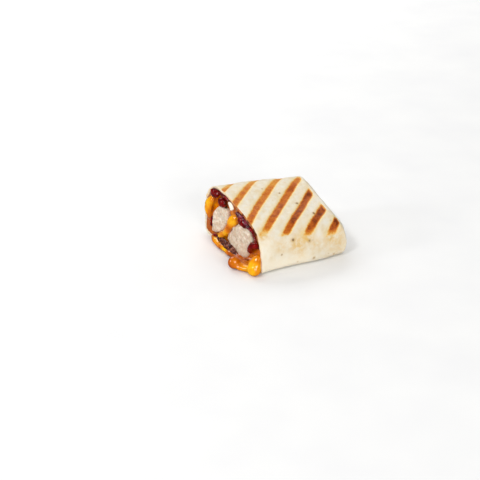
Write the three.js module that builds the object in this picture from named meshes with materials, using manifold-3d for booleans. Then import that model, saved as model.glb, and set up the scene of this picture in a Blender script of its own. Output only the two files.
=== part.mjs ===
// Half of a grilled chicken wrap: a flour tortilla rolled round chicken, cheese sauce, red onion and a dark
// red sauce, pressed flat in a ribbed grill and cut across. Millimetres, +Z up. The roll runs along X, with
// the cut facing -X and the tucked end +X. It lies on its flat foot at z = 0, front side towards -Y.
import * as THREE from 'three';
import { mergeVertices } from 'three/addons/utils/BufferGeometryUtils.js';
import Module from 'manifold-3d';

const wasm = await Module();
wasm.setup();
const { lerp, clamp, smoothstep, degToRad } = THREE.MathUtils;

// Driving dimensions, in millimetres
const roll = {
  length: 62.8, // cut to where the end starts to turn in, along the middle
  halfWidthCut: 39.6,
  halfWidthTipFront: 35.5,
  halfWidthTipBack: 34,
  taperFront: 1.8, // how late along the roll it narrows
  taperBack: 1.3,
  waist: 10, // height at which the roll is widest
  topFrontCut: 37.5, // heights of the pressed top, front and back, at the cut and at the tip
  topBackCut: 47.4,
  topFrontTip: 31,
  topBackTip: 43,
  topTaper: 1.2,
  riseAt: 0.17, // where across the roll the top climbs from the front height to the back height
  riseSpread: 0.42,
  cutSkew: degToRad(8.6), // the cut is not quite square to the roll
  tipSkew: degToRad(3.4),
  tipLean: 8.2, // the end leans out this far from its top edge to its waist
  tipDepth: 6.5, // how far the tucked end bulges
  tipSquareness: 2.7,
  poleHeight: 14, // where the end closes
  frontCut: 2.35, // superellipse powers of the shoulders, at the cut and at the tip
  backCut: 3.1,
  shoulderTip: 4,
  foot: 7.5,
  footSpread: 1.04, // over 1 makes the foot flat
};
const tortilla = {
  thickness: 1.9,
  layerGap: 0.35,
  flapFrontCut: -23, // the free edge under the roll, at the cut and at the tip
  flapFrontTip: 2,
  innerEdge: 20, // where the first turn starts, inside
  tuckedTip: 6.5, // folded layers that close the end
  lapHeight: 18.5, // of the lap across the end, and of the crease below it
  creaseHeight: 9,
  around: 56, // points round the section
  turns: [0.985, 0.95, 0.88, 0.78, 0.66, 0.52, 0.36, 0.18], // rings of the tip, and along the roll
  stations: [0.96, 0.9, 0.83, 0.75, 0.66, 0.57, 0.48, 0.39, 0.3, 0.21, 0.13, 0.06],
};
const grill = {
  pitch: 13, // between bars
  offset: -3.3, // of the bar nearest the cut's middle
  angle: degToRad(45), // of the bars to the roll
  width: 4.2,
  depth: 0.5,
  top: { front: -33, back: 32, far: 62 }, // how far the pressed faces reach, in y and along the roll
  foot: { front: -29, back: 29, far: 60 },
};
const gap = 0.3; // between neighbouring foods
const colours = { tortilla: 0xeadcc0, chicken: 0xe6d2bd, cheese: 0xf6a316, onion: 0x6e1f3c, sauce: 0x6e0505 };
const roughness = { tortilla: 0.75, chicken: 0.6, cheese: 0.25, onion: 0.35, sauce: 0.2 };

// ---- The roll's form ----

const power = (value, exponent) => Math.sign(value) * Math.abs(value) ** exponent;

// Half the roll's width at u along it (0 at the cut, 1 at the tip), on the front or the back side.
function halfWidth(u, side) {
  const tip = side < 0 ? roll.halfWidthTipFront : roll.halfWidthTipBack;
  const taper = side < 0 ? roll.taperFront : roll.taperBack;
  return lerp(roll.halfWidthCut, tip, clamp(u, 0, 1) ** taper);
}

// Height of the pressed top, lower at the front than at the back. across runs from -1 (front) to 1 (back).
function topHeight(u, across) {
  const rise = 0.5 + 0.5 * Math.tanh((across - roll.riseAt) / roll.riseSpread);
  const along = clamp(u, 0, 1) ** roll.topTaper;
  const front = lerp(roll.topFrontCut, roll.topFrontTip, along);
  return lerp(front, lerp(roll.topBackCut, roll.topBackTip, along), rise);
}

// The point u along the roll, across it, at height z.
function place(u, across, z) {
  const y = across * halfWidth(u, across);
  const skew = Math.tan(lerp(roll.cutSkew, roll.tipSkew, u));
  const span = z > roll.waist ? topHeight(u, across) - roll.waist : -2 * roll.waist;
  const lean = roll.tipLean * Math.max(u, 0) ** 2 * (1 - ((z - roll.waist) / span) ** 1.6);
  return new THREE.Vector3(u * roll.length - y * skew + lean, y, z);
}

// Height of the inside floor: two layers of tortilla in front of the inner edge, and one behind it.
function innerFloor(y, skin) {
  const twoLayers = 2 * tortilla.thickness + tortilla.layerGap;
  const oneLayer = smoothstep(y, tortilla.innerEdge - 2, tortilla.innerEdge + 2);
  const layers = lerp(twoLayers, tortilla.thickness, oneLayer);
  return skin > 0 ? layers + skin - tortilla.thickness : skin;
}

// The section of the roll at u and angle a, set in by skin: superellipse shoulders over a flat foot.
function sectionPoint(u, a, skin = 0) {
  const c = Math.cos(a);
  const s = Math.sin(a);
  const shoulder = 2 / lerp(c < 0 ? roll.frontCut : roll.backCut, roll.shoulderTip, clamp(u, 0, 1));
  const foot = 2 / roll.foot;
  const across = power(c, s < 0 ? foot : shoulder);
  const inset = across * (1 - skin / halfWidth(u, across));
  if (s >= 0) {
    const top = topHeight(u, across) - skin;
    return place(u, inset, roll.waist + (top - roll.waist) * s ** shoulder);
  }
  const floor = innerFloor(inset * halfWidth(u, across), skin);
  const down = Math.min(1, roll.footSpread * (-s) ** foot);
  return place(u, inset, roll.waist + (floor - roll.waist) * down);
}

// Angles that space count points evenly round the section at the cut. The steps that they are picked from
// crowd towards the axes, where a flat superellipse runs fastest.
function evenAngles(count) {
  const quarter = 720;
  const fine = Array.from({ length: 4 * quarter + 1 }, (_, step) => {
    const t = (step % quarter) / quarter;
    return (Math.PI / 2) * (Math.floor(step / quarter) + t ** 4 / (t ** 4 + (1 - t) ** 4));
  });
  const lengths = [0];
  for (let i = 1; i < fine.length; i++) {
    lengths.push(lengths[i - 1] + sectionPoint(0, fine[i]).distanceTo(sectionPoint(0, fine[i - 1])));
  }
  return Array.from({ length: count }, (_, k) => {
    const wanted = (k / count) * lengths[fine.length - 1];
    return fine[lengths.findIndex((length) => length >= wanted)];
  });
}

// A ring of the section, or of the tip that turns in from it: turn runs from 0 (edge) to 1 (pole).
function sectionRing(u, skin, angles, turn = 0, depth = roll.tipDepth) {
  const pole = place(u, 0, roll.poleHeight);
  const shrink = Math.cos((turn * Math.PI) / 2) ** (2 / roll.tipSquareness);
  const out = depth * Math.sin((turn * Math.PI) / 2) ** (2 / roll.tipSquareness);
  return angles.map((a) => {
    const point = sectionPoint(u, a, skin).lerp(pole, 1 - shrink);
    point.x += out;
    return point;
  });
}

// ---- Closed solids ----

// A closed body through rings of equal length, with a single point at each end.
function closedBody(first, rings, last) {
  const around = rings[0].length;
  const points = [first, ...rings.flat(), last];
  const at = (ring, i) => 1 + ring * around + (i % around);
  const faces = [];
  for (let i = 0; i < around; i++) {
    faces.push([0, at(0, i), at(0, i + 1)]);
    faces.push([points.length - 1, at(rings.length - 1, i + 1), at(rings.length - 1, i)]);
    for (let r = 0; r + 1 < rings.length; r++) {
      faces.push([at(r, i), at(r + 1, i), at(r + 1, i + 1)], [at(r, i), at(r + 1, i + 1), at(r, i + 1)]);
    }
  }
  const cross = new THREE.Vector3();
  const wedge = ([a, b, c]) => points[a].dot(cross.crossVectors(points[b], points[c]));
  const volume = faces.reduce((sum, face) => sum + wedge(face), 0);
  const facing = volume < 0 ? faces.map(([a, b, c]) => [a, c, b]) : faces;
  return new wasm.Manifold(
    new wasm.Mesh({
      numProp: 3,
      vertProperties: new Float32Array(points.flatMap((p) => [p.x, p.y, p.z])),
      triVerts: new Uint32Array(facing.flat()),
    }),
  );
}

// A solid's largest piece: the crumbs that a cut leaves are dropped.
const largest = (solid) => solid.decompose().sort((a, b) => b.volume() - a.volume())[0];

// A three.js geometry as a solid.
function solidOf(geometry) {
  const bare = geometry.clone();
  bare.deleteAttribute('normal');
  bare.deleteAttribute('uv');
  const merged = mergeVertices(bare);
  const vertProperties = merged.attributes.position.array;
  const triVerts = new Uint32Array(merged.index.array);
  return new wasm.Manifold(new wasm.Mesh({ numProp: 3, vertProperties, triVerts }));
}

function geometryOf(solid) {
  const { vertProperties, triVerts } = solid.getMesh();
  const geometry = new THREE.BufferGeometry();
  geometry.setAttribute('position', new THREE.BufferAttribute(vertProperties, 3));
  geometry.setIndex(new THREE.BufferAttribute(triVerts, 1));
  geometry.computeVertexNormals();
  return geometry;
}

// ---- Tortilla ----

// y of the flap's free edge, under the roll at x: an arc, because the sheet was round.
const flapEdge = (x) => lerp(tortilla.flapFrontCut, tortilla.flapFrontTip, clamp(x / roll.length, 0, 1) ** 2);

// The air in front of the flap's free edge: one layer high at the edge, where the turn inside shows, and
// closing where that turn sags back onto the table.
function underStep() {
  const layer = tortilla.thickness + tortilla.layerGap;
  const reach = 11;
  const below = -1;
  const steps = 16;
  const ring = (x) => [
    ...[0, 2, 5, 8, reach].map((ahead) =>
      new THREE.Vector3(x, flapEdge(x) - ahead, layer * (1 - smoothstep(ahead, 1, reach + 0.5)))),
    new THREE.Vector3(x, flapEdge(x) - reach, below),
    new THREE.Vector3(x, flapEdge(x), below),
  ];
  const rings = Array.from({ length: steps + 1 }, (_, i) => ring(lerp(-12, roll.length + 16, i / steps)));
  const middle = (ring) => ring.reduce((sum, p) => sum.add(p), new THREE.Vector3()).divideScalar(ring.length);
  return closedBody(middle(rings[0]), rings, middle(rings.at(-1)));
}

// Soft unevenness of the filling under the skin.
function lumps(p) {
  return (
    0.55 * Math.sin(p.x / 8.5 + p.y / 23 + 0.6) * Math.cos(p.y / 9.5 + 0.4) +
    0.4 * Math.sin(p.x / 15 - p.y / 7 + 2.1) +
    0.3 * Math.cos(p.z / 5.5 + p.x / 11)
  );
}

// Relief of the tucked end: a long lap across it, with a fainter crease below the lap's front half.
function tuck(p) {
  const beyond = p.x + p.y * Math.tan(roll.tipSkew) - roll.length;
  const onEnd = smoothstep(beyond, 0.5, 4);
  const reach = 1 - smoothstep(Math.abs(p.y + 2), 15, 27);
  const above = p.z - (tortilla.lapHeight + 0.11 * p.y + 0.9 * Math.sin(p.y / 8));
  const below = p.z - (tortilla.creaseHeight - 0.1 * p.y);
  const lap = 0.8 * Math.exp(-(((above - 4) / 3.4) ** 2)) - 1.7 * Math.exp(-(((above + 0.4) / 2.7) ** 2));
  const crease = -0.8 * Math.exp(-((below / 2.4) ** 2)) * (1 - smoothstep(p.y, -6, 8));
  return onEnd * reach * (lap + crease);
}

// Moves each point of the outside along its normal by the relief.
function embossed(rings) {
  const around = rings[0].length;
  return rings.map((ring, r) =>
    ring.map((p, i) => {
      const along = rings[Math.min(r + 1, rings.length - 1)][i].clone().sub(rings[Math.max(r - 1, 0)][i]);
      const round = ring[(i + 1) % around].clone().sub(ring[(i + around - 1) % around]);
      const normal = along.cross(round).normalize();
      const pressed = smoothstep(Math.abs(normal.z), 0.8, 0.95);
      const moved = p.clone().addScaledVector(normal, lumps(p) * (1 - 0.6 * pressed));
      moved.x += tuck(p);
      moved.z = p.z < 0.05 ? 0 : Math.max(moved.z, Math.min(p.z, roll.waist) * 0.6);
      return moved;
    }),
  );
}

// The outside from the tip's pole to u = start, set in by skin: first the pole, then the rings.
function outside(skin, start) {
  const angles = evenAngles(tortilla.around);
  const depth = roll.tipDepth - skin;
  const pole = place(1, 0, roll.poleHeight);
  pole.x += depth;
  const cap = tortilla.turns.map((turn) => sectionRing(1, skin, angles, turn, depth));
  const along = [1, ...tortilla.stations, start].map((u) => sectionRing(u, skin, angles));
  return [pole, embossed([...cap, ...along])];
}

// The whole tortilla in one skin: tip, outside, cut edge and inside. grow thickens it on every side.
function tortillaBody(grow = 0) {
  const angles = evenAngles(tortilla.around);
  const beyondCut = -grow / roll.length;
  const [pole, outer] = outside(-grow, beyondCut);
  const skin = tortilla.thickness + grow;
  const last = 1 - tortilla.tuckedTip / roll.length;
  const inner = [
    ...[beyondCut, 0.05, 0.2, 0.4, 0.6, 0.8, last].map((u) => sectionRing(u, skin, angles)),
    ...[0.45, 0.8].map((turn) => sectionRing(last, skin, angles, turn, tortilla.tuckedTip - grow)),
  ];
  const innerPole = place(last, 0, roll.poleHeight);
  innerPole.x += tortilla.tuckedTip - grow;
  return closedBody(pole, [...outer, ...inner], innerPole);
}

// Upright prisms over the grill bars' furrows, from z = low to z = high: round-ended bars on parallel lines.
function bars({ front, back, far }, low, high) {
  const [c, s] = [Math.cos(grill.angle), Math.sin(grill.angle)];
  const radius = grill.width / 2;
  const prisms = [];
  for (let p = grill.offset - 6 * grill.pitch; p < 3 * grill.pitch; p += grill.pitch) {
    const start = Math.max((front - p * c) / s, (-20 + p * s) / c);
    const end = Math.min((back - p * c) / s, (far + p * s) / c);
    if (end - start < 2 * grill.width) continue;
    const outline = new THREE.Shape();
    outline.absarc(start + radius, 0, radius, Math.PI / 2, 1.5 * Math.PI);
    outline.absarc(end - radius, 0, radius, -Math.PI / 2, Math.PI / 2);
    const options = { depth: high - low, bevelEnabled: false, curveSegments: 4 };
    const prism = new THREE.ExtrudeGeometry(outline, options);
    prism.rotateZ(grill.angle);
    prism.translate(-p * s, p * c, low);
    prisms.push(solidOf(prism));
  }
  return prisms.reduce((whole, prism) => whole.add(prism));
}

// The furrows on top, which end on a solid form set in by their depth, and the level ones on the foot.
function furrows() {
  const beforeCut = -0.2;
  const aboveAll = 60;
  const [pole, rings] = outside(grill.depth, beforeCut);
  const form = closedBody(pole, rings, place(beforeCut, 0, roll.poleHeight));
  return bars(grill.top, roll.waist, aboveAll).subtract(form).add(bars(grill.foot, -1, grill.depth));
}

// The slit between the flap and the turn that it covers, open at the cut and along the free edge.
function layerSlit() {
  const beforeCut = -10;
  const farEnd = roll.length - 16;
  const pastEdge = 0.3;
  const outline = new THREE.Shape();
  outline.moveTo(beforeCut, tortilla.innerEdge + 3);
  outline.lineTo(farEnd, tortilla.innerEdge - 6);
  for (let x = farEnd; x > beforeCut; x -= 6) outline.lineTo(x, flapEdge(x) - pastEdge);
  outline.lineTo(beforeCut, tortilla.flapFrontCut - pastEdge);
  const slab = new THREE.ExtrudeGeometry(outline, { depth: tortilla.layerGap, bevelEnabled: false });
  slab.translate(0, 0, tortilla.thickness);
  return solidOf(slab);
}

// ---- Fillings ----

// Where the fillings show on the cut, as [y, z] of their corners, at the cut's middle plane.
const chicken = {
  front: [
    [-10.6, 28.2], [-20.6, 27.8], [-27, 23.6], [-25.2, 16],
    [-21.4, 5.2], [-14.6, 4.6], [5, 9.2], [0.2, 19],
  ],
  back: [
    [17, 29.8], [8.6, 31.4], [5, 24.6], [12, 12.8],
    [18.6, 8.4], [26, 7], [27.4, 14.6], [23.4, 25.4],
  ],
  reach: 0.8, // how far they run into the roll
  swell: 1.3, // how far they stand out of the cut, and how much further at the foot
  swellFoot: 1.6,
};

// A closed outline on the cut through its corners, softly rounded, grown outwards by grow.
function outlineThrough(corners, count, grow) {
  const through = corners.map(([y, z]) => new THREE.Vector3(y, z, 0));
  const curve = new THREE.CatmullRomCurve3(through, true, 'catmullrom', 0.45);
  return curve.getSpacedPoints(count).slice(0, count).map((p, i, all) => {
    const next = all[(i + 1) % count];
    const previous = all[(i + count - 1) % count];
    const normal = new THREE.Vector3(next.y - previous.y, previous.x - next.x, 0).normalize();
    return p.clone().addScaledVector(normal, grow);
  });
}

// A point of the cut's plane at [y, z], carried to u along the roll and moved out of the cut.
function settled(y, z, u = 0, out = 0) {
  const across = y / roll.halfWidthCut;
  const point = place(u, across, z * (topHeight(u, across) / topHeight(0, across)));
  point.x -= out;
  return point;
}

// A chunk of chicken: its outline on the cut, carried along the roll, with a swelling face and a round tail.
function chunk(corners, grow = 0) {
  const outline = outlineThrough(corners, 18, grow);
  const centre = outline.reduce((sum, p) => sum.add(p), new THREE.Vector3()).divideScalar(outline.length);
  const ring = (u, scale, out) => outline.map((p) => {
    const q = centre.clone().lerp(p, scale);
    return settled(q.x, q.y, u, out(q.y) + grow);
  });
  const swell = (z) => chicken.swell + chicken.swellFoot * (1 - smoothstep(z, 6, 22));
  const face = [[0.35, 0.98], [0.7, 0.9], [0.92, 0.65], [1, 0.2]].map(([scale, share]) =>
    ring(0, scale, (z) => swell(z) * share));
  const body = [0.05, 0.5, 1].map((share) => ring(share * chicken.reach, 1, () => -2 * grow * share));
  const tail = [[0.85, 2], [0.5, 3.2]].map(([scale, depth]) =>
    ring(chicken.reach, scale, () => -depth - 2 * grow));
  return closedBody(
    settled(centre.x, centre.y, 0, swell(centre.y) + grow),
    [...face, ...body, ...tail],
    settled(centre.x, centre.y, chicken.reach, -3.6 - grow),
  );
}

// A soft strand through points [y, z, out of the cut], with half-widths across and out of it at each point,
// turned by tilt about its own run.
function strand(points, { widths, depths, tilt = 0, sides = 8, steps = 8, grow = 0 }) {
  const route = new THREE.CatmullRomCurve3(points.map(([y, z, out]) => settled(y, z, 0, out)));
  const sizeAt = (sizes, t) => {
    const at = t * (sizes.length - 1);
    const from = Math.min(Math.floor(at), sizes.length - 2);
    return lerp(sizes[from], sizes[from + 1], smoothstep(at - from, 0, 1));
  };
  const outwards = new THREE.Vector3(-Math.cos(roll.cutSkew), -Math.sin(roll.cutSkew), 0);
  const ring = (t, share) => {
    const along = route.getTangent(t);
    const side = new THREE.Vector3().crossVectors(along, outwards).normalize();
    const out = new THREE.Vector3().crossVectors(side, along).normalize();
    return Array.from({ length: sides }, (_, i) => {
      const a = (2 * Math.PI * i) / sides;
      const wide = (sizeAt(widths, t) * share + grow) * Math.cos(a);
      const deep = (sizeAt(depths, t) * share + grow) * Math.sin(a);
      return route.getPoint(t)
        .addScaledVector(side, wide * Math.cos(tilt) - deep * Math.sin(tilt))
        .addScaledVector(out, wide * Math.sin(tilt) + deep * Math.cos(tilt));
    });
  };
  const rings = Array.from({ length: steps + 1 }, (_, i) => i / steps).map((t) =>
    ring(t, Math.sqrt(1 - (2 * t - 1) ** 8) * 0.85 + 0.15));
  const pole = (t, way) => route.getPoint(t)
    .addScaledVector(route.getTangent(t), way * (0.3 * sizeAt(widths, t) + grow));
  return closedBody(pole(0, -1), rings, pole(1, 1));
}

// An upright lump on the cut: its middle [y, z, out] and its half-sizes along y, z and out of the cut.
function lump([y, z, out], [across, tall, deep], grow = 0) {
  const geometry = new THREE.SphereGeometry(1, 12, 8);
  geometry.scale(deep + grow, across + grow, tall + grow);
  geometry.rotateZ(roll.cutSkew);
  geometry.translate(...settled(y, z, 0, out));
  return solidOf(geometry);
}

// Strips of red onion: one under the top skin, and one drooping out of the cut over the lower lip.
const onions = {
  onion_top: (grow) => strand([[-26.5, 27.2, -0.6], [-20, 31.2, 0.2], [-12.8, 33.2, 0.6], [-5.2, 34.6, 0]],
    { widths: [1.1, 1.7, 1.8, 1.3], depths: [1.6, 2.2, 2.2, 1.6], grow }),
  onion_bottom: (grow) => strand(
    [[-14.4, 5, 4.6], [-7.4, 5.8, 4.6], [0.6, 6.8, 4.6], [8.4, 7.2, 4.2], [17.4, 6.4, 3.2]],
    { widths: [1.7, 2.6, 2.7, 2.1, 1.4], depths: [1, 1.4, 1.4, 1.3, 1], tilt: degToRad(-35), grow }),
};

// Drops of dark red sauce.
const sauces = {
  sauce_top: (grow) => strand([[-19.8, 28.6, 1.2], [-16, 31, 2], [-11.6, 32.6, 1.6]],
    { widths: [1.8, 2.6, 2.2], depths: [1.2, 2, 1.6], grow }),
  sauce_mid: (grow) => lump([12.8, 35, 1], [4.6, 3.5, 2.8], grow),
  sauce_back: (grow) => lump([22.2, 39, 1.7], [4.6, 3.7, 2.8], grow),
  sauce_front: (grow) => strand([[-34.6, 19.8, 0], [-28.6, 17.8, 1], [-24.4, 11.6, 1.4]],
    { widths: [1.6, 3, 2.2], depths: [1.4, 2.2, 1.6], grow }),
};

// Cheese sauce that fills the roll. Its front sits back under the top skin and swells out over the lower lip.
function filling() {
  const skin = tortilla.thickness + gap;
  const angles = evenAngles(32);
  const last = 1 - (tortilla.tuckedTip + 3 * gap) / roll.length;
  const out = (z) => lerp(0.7, -1.9, smoothstep(z, 6, 26));
  const edge = sectionRing(0, skin, angles);
  const middle = 18;
  const face = [0.3, 0.6, 0.84, 1].map((scale) => edge.map((p) => {
    const y = p.y * scale;
    const z = lerp(middle, p.z, scale);
    const billow = 0.6 * Math.sin(y / 5.5 + z / 9) * Math.cos(z / 6 - y / 13) * (scale < 1 ? 1 : 0);
    return settled(y, z, 0, out(z) + billow);
  }));
  const body = [0.05, 0.2, 0.4, 0.6, 0.8, last].map((u) => sectionRing(u, skin, angles));
  const tail = [0.45, 0.8].map((turn) => sectionRing(last, skin, angles, turn, tortilla.tuckedTip - gap));
  const pole = place(last, 0, roll.poleHeight);
  pole.x += tortilla.tuckedTip - gap;
  return closedBody(settled(0, middle, 0, out(middle)), [...face, ...body, ...tail], pole);
}

// Cheese sauce that has run out of the cut: a pool along the lower lip, a tongue that ends in a blob, a drip
// at the front corner, the lip's cover, a stream between the chunks of chicken and a swelling at the back.
const runs = [
  strand([[-34, 2.8, 3], [-22, 2.8, 3.6], [-10, 2.9, 4.2], [4, 3, 4.4], [16, 3, 4.2], [26, 3.4, 2.2]],
    { widths: [2.2, 2.4, 2.6, 2.7, 2.6, 1.8], depths: [2.6, 3.2, 3.3, 3.4, 3, 1.8], steps: 10 }),
  strand([[-34, 2.8, 4.6], [-29.5, 2.8, 8], [-24.6, 3.2, 11]],
    { widths: [2.4, 2.5, 2.9], depths: [3.4, 3.6, 4], steps: 6 }),
  lump([-20, 2.6, 7.6], [5.4, 2.3, 5]),
  lump([-23.6, 5.2, 12.2], [4.3, 4.8, 4.6]),
  strand([[-36.8, 13.6, 0.4], [-37, 10, 3], [-37.8, 6, 5]],
    { widths: [2.4, 4.4, 5.2], depths: [1.8, 3.8, 4.8], sides: 10, steps: 6 }),
  lump([-38.2, 5, 5.2], [5.2, 4.9, 5.2]),
  strand([[-31, 5.6, 0.6], [-15, 5.2, 1.2], [0, 5.6, 1.2], [14, 5.8, 1], [25, 6, 0]],
    { widths: [1.7, 1.8, 1.8, 1.8, 1.6], depths: [1.6, 1.8, 1.8, 1.8, 1.4] }),
  strand([[-5, 30, -1.2], [0, 24.5, 0.6], [3.2, 18.5, 1.2], [8, 12.4, 1.8], [15.4, 7.4, 2.6]],
    { widths: [4.4, 4, 2.9, 2.5, 2.4], depths: [2.6, 2.8, 2.8, 2.8, 2.8] }),
  strand([[27.5, 33, -0.4], [31.2, 28, 1], [33, 21, 0.8], [31.4, 13.5, -0.6]],
    { widths: [2.4, 3.6, 3.2, 1.8], depths: [1.6, 2.4, 2.2, 1.4], steps: 6 }),
];

// ---- The whole ----

const wrap = new THREE.Group();
const add = (name, solid, food) => {
  const options = { color: colours[food], roughness: roughness[food], metalness: 0 };
  const mesh = new THREE.Mesh(geometryOf(solid), new THREE.MeshStandardMaterial(options));
  mesh.name = name;
  wrap.add(mesh);
};
const cuts = layerSlit().add(underStep()).add(furrows());
add('tortilla', largest(tortillaBody().subtract(cuts)), 'tortilla');

// Every filling is cut round by those before it, with the gap between neighbours.
const skinAndGap = tortillaBody(gap);
const room = [skinAndGap];
const fit = (name, make, food) => {
  add(name, largest(room.reduce((rest, other) => rest.subtract(other), make(0))), food);
  room.push(make(gap));
};
fit('chicken_front', (grow) => chunk(chicken.front, grow), 'chicken');
fit('chicken_back', (grow) => chunk(chicken.back, grow), 'chicken');
for (const [name, make] of Object.entries(onions)) fit(name, make, 'onion');
for (const [name, make] of Object.entries(sauces)) fit(name, make, 'sauce');
const overflow = runs.reduce((whole, run) => whole.add(run)).subtract(skinAndGap);
const cheese = room.slice(1).reduce((rest, other) => rest.subtract(other), filling().add(overflow));
add('cheese_sauce', largest(cheese), 'cheese');

// The origin moves from the foot of the cut's middle to the middle of the whole's foot.
const middle = new THREE.Box3().setFromObject(wrap).getCenter(new THREE.Vector3());
wrap.position.set(-middle.x, -middle.y, 0);

export default wrap;
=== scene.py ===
# Half of a grilled chicken wrap, cut across: a tortilla rolled round chicken, cheese sauce, red onion and a
# dark red sauce. Shapes are worked out in millimetres from the middle of the cut, with the roll along +X,
# the cut facing -X and the front side towards -Y, and go into the frame's metres when a mesh is made.
import math

import bpy
import numpy as np
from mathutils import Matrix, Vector


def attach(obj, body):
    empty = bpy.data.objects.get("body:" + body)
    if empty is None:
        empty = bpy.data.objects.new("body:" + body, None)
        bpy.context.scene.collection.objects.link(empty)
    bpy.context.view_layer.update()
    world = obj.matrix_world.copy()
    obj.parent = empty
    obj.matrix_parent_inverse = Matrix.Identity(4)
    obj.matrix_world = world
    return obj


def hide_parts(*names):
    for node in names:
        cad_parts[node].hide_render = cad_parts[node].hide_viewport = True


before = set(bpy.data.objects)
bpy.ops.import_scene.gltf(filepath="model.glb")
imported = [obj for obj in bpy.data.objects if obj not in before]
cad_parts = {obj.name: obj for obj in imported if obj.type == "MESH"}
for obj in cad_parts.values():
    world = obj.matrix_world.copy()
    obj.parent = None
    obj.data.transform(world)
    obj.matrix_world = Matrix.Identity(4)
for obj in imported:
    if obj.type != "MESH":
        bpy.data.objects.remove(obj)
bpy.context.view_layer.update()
mm = 0.001
cutMiddle = np.array([-31.984, 1.641, 0.0])  # where the foot of the cut's middle lies in the frame


# numbers and curves


def mix(a, b, t):
    # a at t = 0 and b at t = 1
    return a + (b - a) * t


def ease(value, low, high):
    # smooth step from 0 at low to 1 at high
    t = np.clip((value - low) / (high - low), 0, 1)
    return t * t * (3 - 2 * t)


def signedPower(value, exponent):
    # a power that keeps the value's sign
    return np.sign(value) * np.abs(value) ** exponent


def bell(value, width):
    # 1 at value 0, falling off over width
    return np.exp(-((value / width) ** 2))


def ripple(points, size, seed, stretch=(1, 1, 1), waves=12):
    # smooth noise of about -1 to 1: a sum of plane waves of random direction and of about size mm, which
    # stretch along each axis
    rng = np.random.default_rng(seed)
    total = 0
    for _ in range(waves):
        way = rng.normal(size=len(stretch))
        way *= rng.uniform(0.6, 1.5) / np.linalg.norm(way)
        phase = rng.uniform(0, 2 * math.pi)
        total = total + np.sin(points @ (way / stretch) * (2 * math.pi / size) + phase)
    return total / math.sqrt(waves)


def evenSteps(curve, low, high, count, fine=4000):
    # parameters from low to high that space count points evenly along curve(t)
    t = np.linspace(low, high, fine)
    points = curve(t)
    run = np.concatenate([[0], np.cumsum(np.linalg.norm(np.diff(points, axis=0), axis=1))])
    return np.interp(np.linspace(0, run[-1], count), run, t)


def throughPoints(points, count, closed=False, tension=0.5):
    # Catmull-Rom curve through points, as count points evenly spaced along it
    points = np.array(points, float)
    if closed:
        knots = np.concatenate([points[-1:], points, points[:2]])
    else:
        knots = np.concatenate([[2 * points[0] - points[1]], points, [2 * points[-1] - points[-2]]])
    spans = len(knots) - 3

    def curve(t):
        # cubic from start to end, with slopes from the points on either side
        i = np.minimum(t.astype(int), spans - 1)
        s = (t - i)[:, None]
        before, start, end, after = knots[i], knots[i + 1], knots[i + 2], knots[i + 3]
        leave, arrive = tension * (end - before), tension * (after - start)
        return (
            (2 * s**3 - 3 * s**2 + 1) * start
            + (s**3 - 2 * s**2 + s) * leave
            + (3 * s**2 - 2 * s**3) * end
            + (s**3 - s**2) * arrive
        )

    steps = evenSteps(curve, 0, spans, count + 1 if closed else count)
    return curve(steps[:-1] if closed else steps)


def normalsOf(grid):
    # unit normals of a grid of points whose columns run round, on the side away from its middle line
    along = np.gradient(grid, axis=0)
    around = np.roll(grid, -1, axis=1) - np.roll(grid, 1, axis=1)
    normal = np.cross(along, around)
    normal = normal / np.maximum(np.linalg.norm(normal, axis=-1, keepdims=True), 1e-9)
    outward = np.einsum("ijk,ijk->", normal, grid - grid.mean(axis=1, keepdims=True))
    return normal * np.sign(outward)


# meshes


def tubeMesh(name, grid, first, last, fields=None):
    # closed mesh through rings of points (rows x columns), with a pole before the first ring and one after
    # the last, and with each of fields as an attribute
    rows, columns = grid.shape[:2]
    points = np.concatenate([[first], grid.reshape(-1, 3), [last]])
    index = 1 + np.arange(rows * columns).reshape(rows, columns)
    beside = np.roll(index, -1, axis=1)
    quads = np.stack([index[:-1], index[1:], beside[1:], beside[:-1]], -1).reshape(-1, 4)
    end = len(points) - 1
    start = np.stack([np.zeros(columns, int), index[0], beside[0]], -1)
    finish = np.stack([np.full(columns, end), beside[-1], index[-1]], -1)
    a, b, c = points[quads[:, 0]], points[quads[:, 1]], points[quads[:, 2]]
    if np.einsum("ij,ij->i", a, np.cross(b, c)).sum() < 0:
        quads, start, finish = quads[:, ::-1], start[:, ::-1], finish[:, ::-1]
    mesh = bpy.data.meshes.new(name)
    places = (points + cutMiddle) * mm
    mesh.from_pydata(places.tolist(), [], quads.tolist() + start.tolist() + finish.tolist())
    mesh.shade_smooth()
    for field, values in (fields or {}).items():
        flat = np.concatenate([[values[0].mean()], values.ravel(), [values[-1].mean()]])
        mesh.attributes.new(field, "FLOAT", "POINT").data.foreach_set("value", flat.astype(np.float32))
    return mesh


def newObject(name, data):
    # an object that holds data, in the scene
    thing = bpy.data.objects.new(name, data)
    bpy.context.scene.collection.objects.link(thing)
    return thing


def addPiece(name, mesh, material, slot, *nodes):
    # puts a mesh on the part, in place of the named nodes
    piece = newObject(name, mesh)
    mesh.materials.append(material)
    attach(piece, "root")
    if nodes:
        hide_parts(*nodes)
    print(name, len(mesh.polygons), "faces")


# materials


def colour(red, green, blue):
    # display values of 0 to 255 as linear ones
    values = np.array([red, green, blue]) / 255
    linear = np.where(values <= 0.04045, values / 12.92, ((values + 0.055) / 1.055) ** 2.4)
    return (*linear.tolist(), 1)


def newMaterial(name, specular, roughness=0.5):
    # a material, its node tree and its shader
    material = bpy.data.materials.new(name)
    material.use_nodes = True
    shader = material.node_tree.nodes["Principled BSDF"]
    shader.inputs["Specular IOR Level"].default_value = specular
    shader.inputs["Roughness"].default_value = roughness
    return material, material.node_tree, shader


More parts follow.
